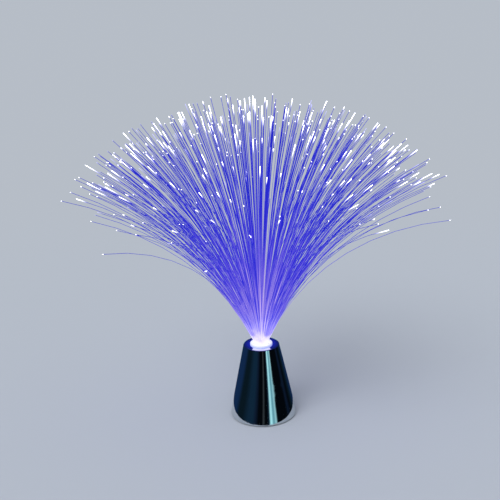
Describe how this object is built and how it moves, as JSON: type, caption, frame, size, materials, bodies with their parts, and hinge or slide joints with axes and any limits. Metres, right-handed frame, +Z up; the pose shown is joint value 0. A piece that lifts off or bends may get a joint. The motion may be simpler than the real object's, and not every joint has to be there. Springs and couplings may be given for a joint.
{
  "type": "fibre optic lamp",
  "caption": "Battery table lamp: a chrome cone with a frosted collar in its top, from which a spray of clear glowing fibres spreads like a fountain.",
  "frame": {"origin": "on the table, on the lamp's axis: the middle of the ring that the lamp stands on", "axes": "+Z up along the lamp's axis; +Y towards the side with the slide switch, which is the back; +X to the right seen from the front"},
  "size_m": [0.4004, 0.3762, 0.3519],
  "materials": {
    "chrome_plate": "mirror chrome plate on moulded plastic",
    "black_plastic": "fine-grained moulded plastic",
    "foot_rubber": "matt",
    "foam": "open-cell foam",
    "screw_steel": "bright zinc plate",
    "contact_steel": "nickel plate",
    "cell_jacket": "printed plastic sleeve over steel",
    "switch_steel": "tin plate",
    "switch_board": "brown laminate",
    "terminal_brass": "tinned brass",
    "white_plastic": "satin moulded plastic",
    "board_green": "solder mask",
    "led_red_lens": "clear tinted resin",
    "led_green_lens": "clear tinted resin",
    "led_blue_lens": "clear tinted resin",
    "resistor_body": "enamel",
    "chip_body": "moulded epoxy",
    "wire_red": "PVC insulation",
    "wire_yellow": "PVC insulation",
    "wire_black": "PVC insulation",
    "frosted_plastic": "frosted, lit from inside",
    "ferrule_aluminium": "satin",
    "resin": "clear cast resin",
    "fibre": "clear filament that glows at its tip"
  },
  "bodies": {
    "base": {"chrome_shell": "chrome_plate", "foot_ring": "foot_rubber", "bottom_cover": "black_plastic", "cover_screws": "screw_steel", "switch_can": "switch_steel", "switch_base": "switch_board", "switch_terminals": "terminal_brass", "switch_screws": "screw_steel", "bundle_socket": "white_plastic", "led_board": "board_green", "led_leads": "contact_steel", "led_red": "led_red_lens", "led_green": "led_green_lens", "led_blue": "led_blue_lens", "resistors": "resistor_body", "control_chip": "chip_body", "board_screws": "screw_steel", "wire_positive": "wire_red", "wire_switched": "wire_yellow", "wire_negative": "wire_black", "contact_positive": "contact_steel", "contact_negative": "contact_steel", "contact_bridge_1": "contact_steel", "contact_bridge_2": "contact_steel", "battery_cell_1": "cell_jacket", "battery_cell_2": "cell_jacket", "battery_cell_3": "cell_jacket", "contact_spring_1": "contact_steel", "contact_spring_2": "contact_steel", "contact_spring_3": "contact_steel"},
    "switch": {"switch_slider": "black_plastic"},
    "door": {"battery_door": "black_plastic", "door_foam": "foam"},
    "collar": {"collar": "frosted_plastic"},
    "bundle": {"ferrule": "ferrule_aluminium", "fibre_root": "resin", "fibres_layer_1": "fibre", "fibres_layer_2": "fibre", "fibres_layer_3": "fibre", "fibres_layer_4": "fibre", "fibres_layer_5": "fibre", "fibres_layer_6": "fibre", "fibres_layer_7": "fibre", "fibres_layer_8": "fibre"}
  },
  "joints": [
    {"name": "switch_slide", "type": "slide", "parent": "base", "child": "switch", "axis": [1, 0, 0], "range_m": [-0.003, 0]},
    {"name": "door_hinge", "type": "hinge", "parent": "base", "child": "door", "pos_m": [-0.0263, 0, 0.00245], "axis": [0, 1, 0], "range_deg": [0, 70]},
    {"name": "collar_lift", "type": "slide", "parent": "base", "child": "collar", "axis": [0, 0, 1], "range_m": [0, 0.025]},
    {"name": "bundle_turn", "type": "hinge", "parent": "collar", "child": "bundle", "pos_m": [0, 0, 0.084], "axis": [0, 0, 1], "continuous": true}
  ]
}
